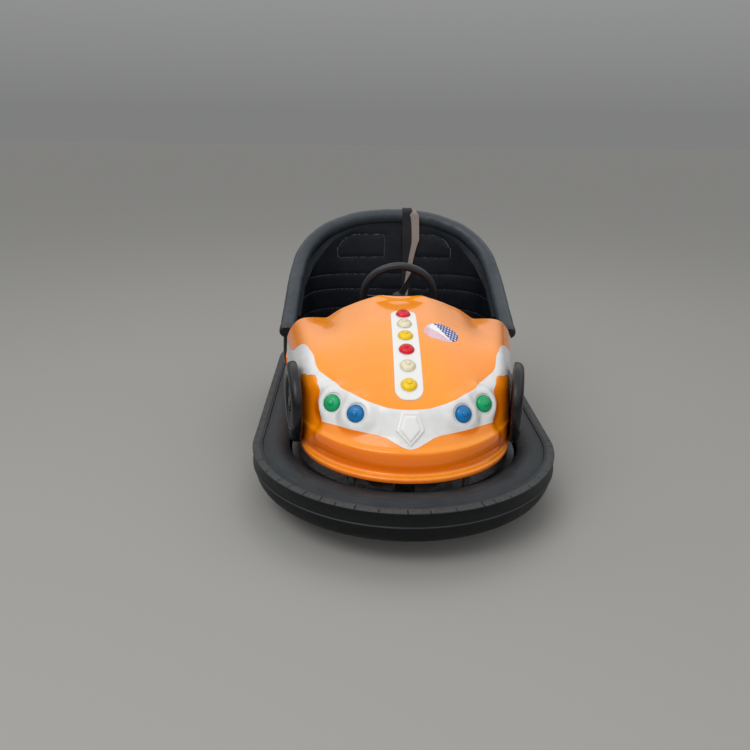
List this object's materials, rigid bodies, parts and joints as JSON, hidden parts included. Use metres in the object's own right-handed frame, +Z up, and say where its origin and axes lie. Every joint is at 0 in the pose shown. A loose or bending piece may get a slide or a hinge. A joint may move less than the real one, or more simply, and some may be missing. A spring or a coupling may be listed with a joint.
{
  "type": "bumper car",
  "caption": "Battery bumper car: hollow moulded cowl and tub on a steel pan inside a round rubber bumper tyre, with a steered drive wheel, lamps and a padded bench seat.",
  "frame": {"origin": "on the floor under the middle of the car's bounding box", "axes": "-Y towards the nose, +X towards the driver's left, +Z up"},
  "size_m": [1.12, 1.95, 0.93],
  "materials": {
    "tyre_rubber": "weathered black rubber, satin",
    "wheel_rubber": "solid black rubber",
    "mat_rubber": "matt ribbed rubber",
    "galvanised_steel": "scuffed galvanised",
    "dark_steel": "satin black paint",
    "bare_steel": "bare, lightly scratched",
    "cast_grey": "cast, matt",
    "orange_gelcoat": "gloss orange moulded gelcoat",
    "white_gelcoat": "gloss white moulded gelcoat",
    "black_plastic": "semi-gloss black",
    "red_lens": "clear red lens",
    "clear_lens": "milky clear lens",
    "yellow_lens": "clear yellow lens",
    "green_lens": "clear green lens",
    "blue_lens": "clear blue lens",
    "grey_vinyl": "charcoal vinyl, soft sheen",
    "black_vinyl": "black stitched vinyl",
    "battery_case": "moulded case",
    "webbing": "woven webbing"
  },
  "bodies": {
    "chassis": {"bumper_tyre": "tyre_rubber", "bumper_rim": "galvanised_steel", "floor_pan": "dark_steel", "chassis_rails": "dark_steel", "body_mounts": "dark_steel", "front_cowl": "orange_gelcoat", "lamp_strip": "white_gelcoat", "hood_lamps_red": "red_lens", "hood_lamps_clear": "clear_lens", "hood_lamps_yellow": "yellow_lens", "nose_bezels": "white_gelcoat", "nose_lamps_green": "green_lens", "nose_lamps_blue": "blue_lens", "nose_gem": "white_gelcoat", "trim_wheel_front_left": "black_plastic", "trim_wheel_front_right": "black_plastic", "trim_wheel_rear_left": "black_plastic", "trim_wheel_rear_right": "black_plastic", "rear_tub": "orange_gelcoat", "rim_pad": "grey_vinyl", "backrest": "black_vinyl", "seat_cushion": "black_vinyl", "seat_box": "orange_gelcoat", "battery": "battery_case", "belt": "webbing", "belt_anchor": "dark_steel", "tail_lamps": "red_lens", "floor_mat": "mat_rubber", "pedal": "bare_steel", "steering_head": "dark_steel", "gear_housing": "cast_grey", "column_support": "dark_steel", "column_tube": "dark_steel", "rear_brackets": "dark_steel"},
    "steering": {"steering_wheel": "black_plastic", "steering_shaft": "bare_steel"},
    "drive_unit": {"drive_fork": "dark_steel", "drive_motor": "cast_grey"},
    "drive_wheel": {"drive_wheel_hub": "cast_grey", "drive_wheel_tyre": "wheel_rubber"},
    "rear_wheel_left": {"rear_hub_left": "cast_grey", "rear_tyre_left": "wheel_rubber"},
    "rear_wheel_right": {"rear_hub_right": "cast_grey", "rear_tyre_right": "wheel_rubber"}
  },
  "joints": [
    {"name": "steering_turn", "type": "hinge", "parent": "chassis", "child": "steering", "pos_m": [0, 0.1, 0.628], "axis": [0, 0.9272, 0.3746], "continuous": true},
    {"name": "drive_swivel", "type": "hinge", "parent": "chassis", "child": "drive_unit", "pos_m": [0, -0.5, 0.11], "axis": [0, 0, 1], "continuous": true},
    {"name": "drive_spin", "type": "hinge", "parent": "drive_unit", "child": "drive_wheel", "pos_m": [0, -0.5, 0.11], "axis": [1, 0, 0], "continuous": true},
    {"name": "rear_spin_left", "type": "hinge", "parent": "chassis", "child": "rear_wheel_left", "pos_m": [0.33, 0.6, 0.08], "axis": [1, 0, 0], "continuous": true},
    {"name": "rear_spin_right", "type": "hinge", "parent": "chassis", "child": "rear_wheel_right", "pos_m": [-0.33, 0.6, 0.08], "axis": [1, 0, 0], "continuous": true}
  ],
  "couplings": [
    {"joint": "steering_turn", "follows": "drive_swivel", "ratio": 1}
  ]
}
